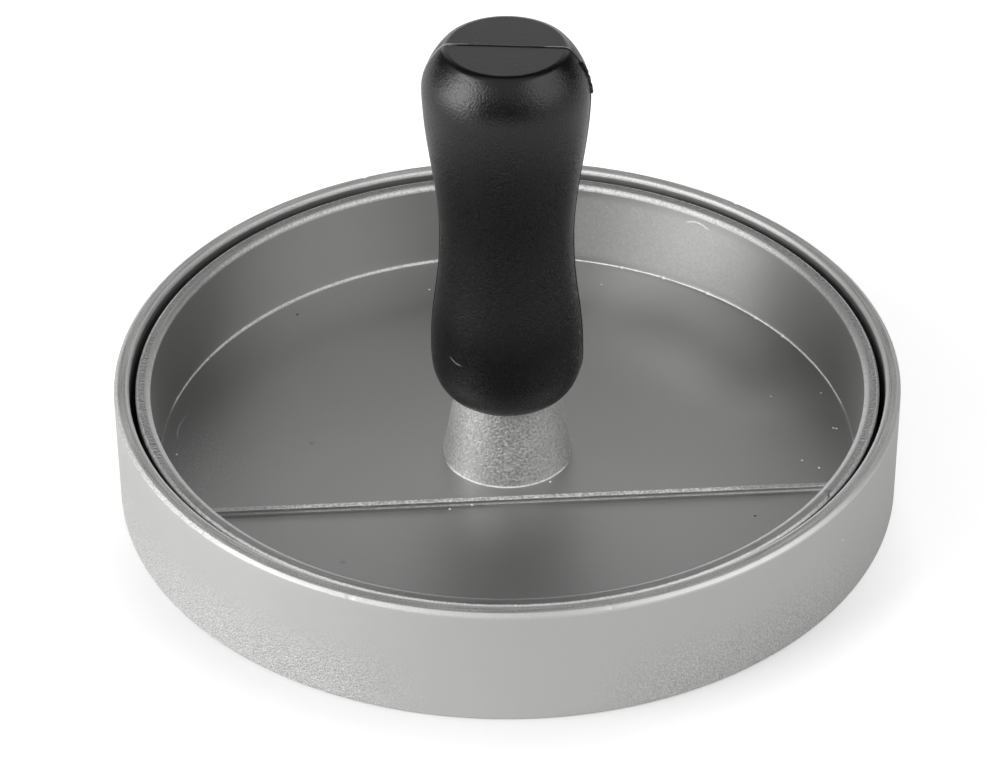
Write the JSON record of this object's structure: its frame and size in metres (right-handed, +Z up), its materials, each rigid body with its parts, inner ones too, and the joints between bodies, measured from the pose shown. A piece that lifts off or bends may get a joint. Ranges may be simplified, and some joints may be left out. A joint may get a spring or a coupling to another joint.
{
  "type": "burger press",
  "caption": "Round cast-metal burger mould with a lift-out press plate and a waisted screw-on handle.",
  "frame": {"origin": "centre of the mould's underside, on the surface that it stands on", "axes": "+Z up along the handle, -Y towards the side of the plate with the rib"},
  "size_m": [0.125, 0.125, 0.0792],
  "materials": {
    "mould_aluminium": "blasted, satin",
    "press_aluminium": "blasted, satin",
    "stud_steel": "plain zinc",
    "insert_brass": "turned",
    "grip_plastic": "fine grain, satin"
  },
  "bodies": {
    "mould": {"base_mould": "mould_aluminium"},
    "press": {"press_plate": "press_aluminium"},
    "stud": {"handle_stud": "stud_steel"},
    "handle": {"handle_grip": "grip_plastic", "handle_insert": "insert_brass"}
  },
  "joints": [
    {"name": "press_lift", "type": "slide", "parent": "mould", "child": "press", "axis": [0, 0, 1], "range_m": [0, 0.04]},
    {"name": "handle_rise", "type": "slide", "parent": "press", "child": "stud", "axis": [0, 0, 1], "range_m": [0, 0.01]},
    {"name": "handle_turn", "type": "hinge", "parent": "stud", "child": "handle", "pos_m": [0, 0, 0.0169], "axis": [0, 0, 1], "range_deg": [0, 2880]}
  ],
  "couplings": [
    {"joint": "handle_rise", "follows": "handle_turn", "m_per_rad": 0.00019894}
  ]
}
